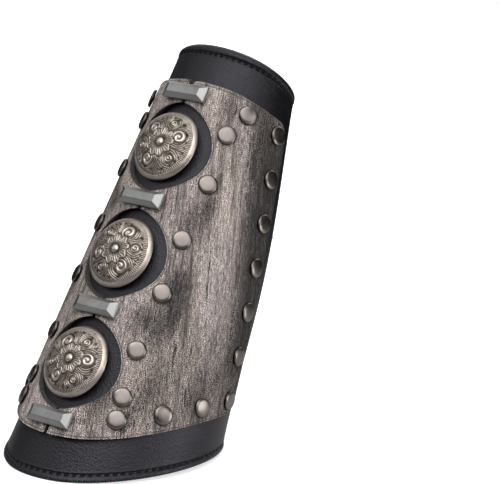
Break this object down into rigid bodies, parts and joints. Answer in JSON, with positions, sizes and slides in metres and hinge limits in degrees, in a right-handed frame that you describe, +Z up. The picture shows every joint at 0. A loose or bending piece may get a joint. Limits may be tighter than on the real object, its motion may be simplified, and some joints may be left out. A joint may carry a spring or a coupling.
{
  "type": "leather bracer",
  "caption": "Laced leather forearm bracer with riveted panels, round cast discs in openings along the front seam, and bevelled metal bars between them.",
  "frame": {"origin": "centre of the whole bracer's box, on the surface that the elbow rim stands on", "axes": "+Z up from the elbow rim to the wrist rim, -Y towards the front line with the discs, +X to the right seen from the front"},
  "size_m": [0.1062, 0.1774, 0.2023],
  "materials": {
    "black_leather": "smooth black leather, soft sheen",
    "grey_leather": "distressed grey leather with dark streaks",
    "cast_silver": "antique silver casting with dark recesses",
    "satin_metal": "satin grey metal",
    "rivet_metal": "satin pewter",
    "black_lacquer": "gloss black",
    "black_cord": "waxed black cord"
  },
  "bodies": {
    "root": {"base_sleeve": "black_leather", "panel_right": "grey_leather", "panel_left": "grey_leather", "concho_1": "cast_silver", "concho_2": "cast_silver", "concho_3": "cast_silver", "bar_1": "satin_metal", "bar_2": "satin_metal", "bar_3": "satin_metal", "bar_4": "satin_metal", "rivet_right_01": "rivet_metal", "rivet_right_02": "rivet_metal", "rivet_right_03": "rivet_metal", "rivet_right_04": "rivet_metal", "rivet_right_05": "rivet_metal", "rivet_right_06": "rivet_metal", "rivet_right_07": "rivet_metal", "rivet_right_08": "rivet_metal", "rivet_right_09": "rivet_metal", "rivet_right_10": "rivet_metal", "rivet_right_11": "rivet_metal", "rivet_right_12": "rivet_metal", "rivet_right_13": "rivet_metal", "rivet_right_14": "rivet_metal", "rivet_right_15": "rivet_metal", "rivet_right_16": "rivet_metal", "rivet_right_17": "rivet_metal", "rivet_left_01": "rivet_metal", "rivet_left_02": "rivet_metal", "rivet_left_03": "rivet_metal", "rivet_left_04": "rivet_metal", "rivet_left_05": "rivet_metal", "rivet_left_06": "rivet_metal", "rivet_left_07": "rivet_metal", "rivet_left_08": "rivet_metal", "rivet_left_09": "rivet_metal", "rivet_left_10": "rivet_metal", "rivet_left_11": "rivet_metal", "rivet_left_12": "rivet_metal", "rivet_left_13": "rivet_metal", "rivet_left_14": "rivet_metal", "rivet_left_15": "rivet_metal", "rivet_left_16": "rivet_metal", "rivet_left_17": "rivet_metal", "eyelet_right_1": "black_lacquer", "eyelet_right_2": "black_lacquer", "eyelet_right_3": "black_lacquer", "eyelet_right_4": "black_lacquer", "eyelet_right_5": "black_lacquer", "eyelet_left_1": "black_lacquer", "eyelet_left_2": "black_lacquer", "eyelet_left_3": "black_lacquer", "eyelet_left_4": "black_lacquer", "eyelet_left_5": "black_lacquer", "lace": "black_cord", "lace_knot": "black_cord", "lace_loop_right": "black_cord", "lace_loop_left": "black_cord", "lace_tail_right": "black_cord", "lace_tail_left": "black_cord"}
  },
  "joints": []
}
